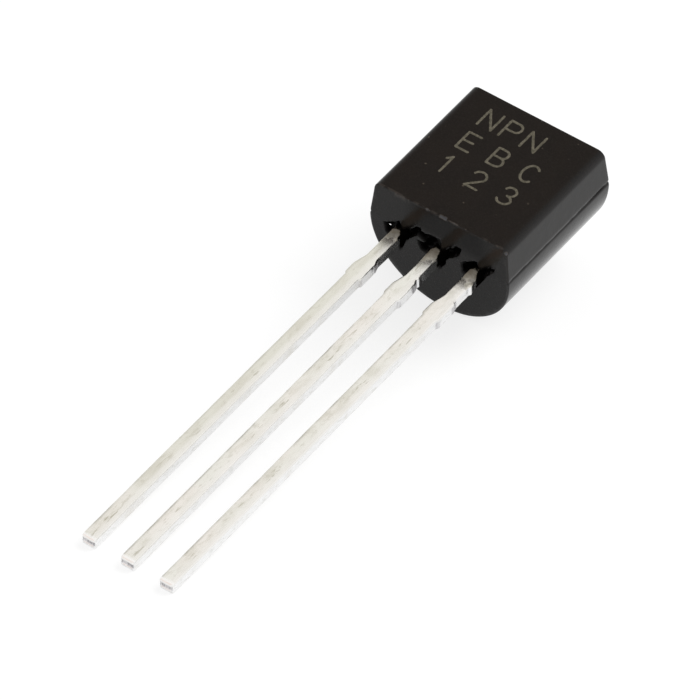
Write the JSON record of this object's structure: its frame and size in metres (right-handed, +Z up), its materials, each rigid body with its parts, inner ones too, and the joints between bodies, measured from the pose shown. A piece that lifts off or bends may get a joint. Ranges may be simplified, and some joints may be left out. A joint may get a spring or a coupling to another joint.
{
  "type": "small-signal transistor",
  "caption": "Small-signal transistor: D-shaped black moulded body with a flat marked face, round back and straight tinned leads.",
  "frame": {"origin": "on the surface that the part lies on, under the middle of its bounding box", "axes": "+Z up; +Y along the leads towards the body's far end, lifted 8.4 degrees from the surface as the part rests; +X across the leads from emitter to collector; the marked face looks up"},
  "size_m": [0.0046, 0.0184, 0.0042],
  "materials": {
    "moulding": "black epoxy moulding compound, satin on the marked face and smoother on the sides",
    "tinned_lead": "bright tin plating on a stamped copper-alloy lead frame",
    "silver_epoxy": "silver-filled die-attach epoxy",
    "silicon": "polished silicon",
    "gold_wire": "drawn gold bond wire",
    "marking": "laser-etched lettering, flush with the marked face"
  },
  "bodies": {
    "root": {"body": "moulding", "emitter_lead": "tinned_lead", "base_lead": "tinned_lead", "collector_lead": "tinned_lead", "die_attach": "silver_epoxy", "die": "silicon", "base_wire": "gold_wire", "emitter_wire": "gold_wire"}
  },
  "joints": []
}
